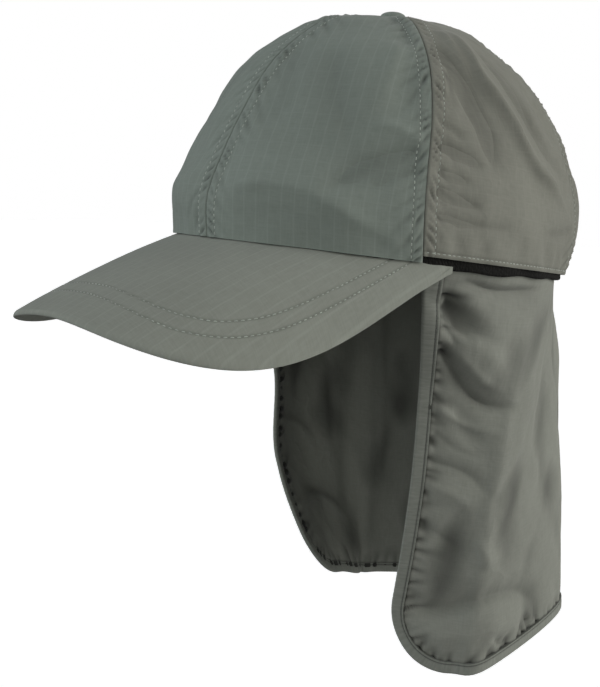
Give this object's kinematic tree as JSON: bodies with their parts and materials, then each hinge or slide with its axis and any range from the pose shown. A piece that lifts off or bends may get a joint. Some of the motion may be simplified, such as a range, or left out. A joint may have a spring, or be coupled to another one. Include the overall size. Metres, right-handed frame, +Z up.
{
  "type": "legionnaire cap",
  "caption": "Peaked cap with a panelled crown, a covered top button, a curved peak, a sweatband and a long neck flap with a bound edge.",
  "frame": {"origin": "middle of the head opening, in the plane of the rim", "axes": "+Z up as the cap is worn, -Y the way the peak points, +X the wearer's left"},
  "size_m": [0.1658, 0.2911, 0.3061],
  "materials": {
    "crown_cloth": "light ripstop cloth, matt grey green, with sewn seams",
    "peak_cloth": "the same ripstop cloth over a stiff core, with two rows of stitches along its edge",
    "band_fabric": "black knitted band",
    "flap_cloth": "thin plain cloth, matt grey green",
    "binding_cloth": "folded strip of the cloth, cut on the bias, with one row of stitches"
  },
  "bodies": {
    "root": {"front_panel_left": "crown_cloth", "front_panel_right": "crown_cloth", "side_panel_left": "crown_cloth", "side_panel_right": "crown_cloth", "back_panel_left": "crown_cloth", "back_panel_right": "crown_cloth", "top_button": "crown_cloth", "peak": "peak_cloth", "sweatband": "band_fabric", "neck_flap": "flap_cloth", "flap_binding": "binding_cloth"}
  },
  "joints": []
}
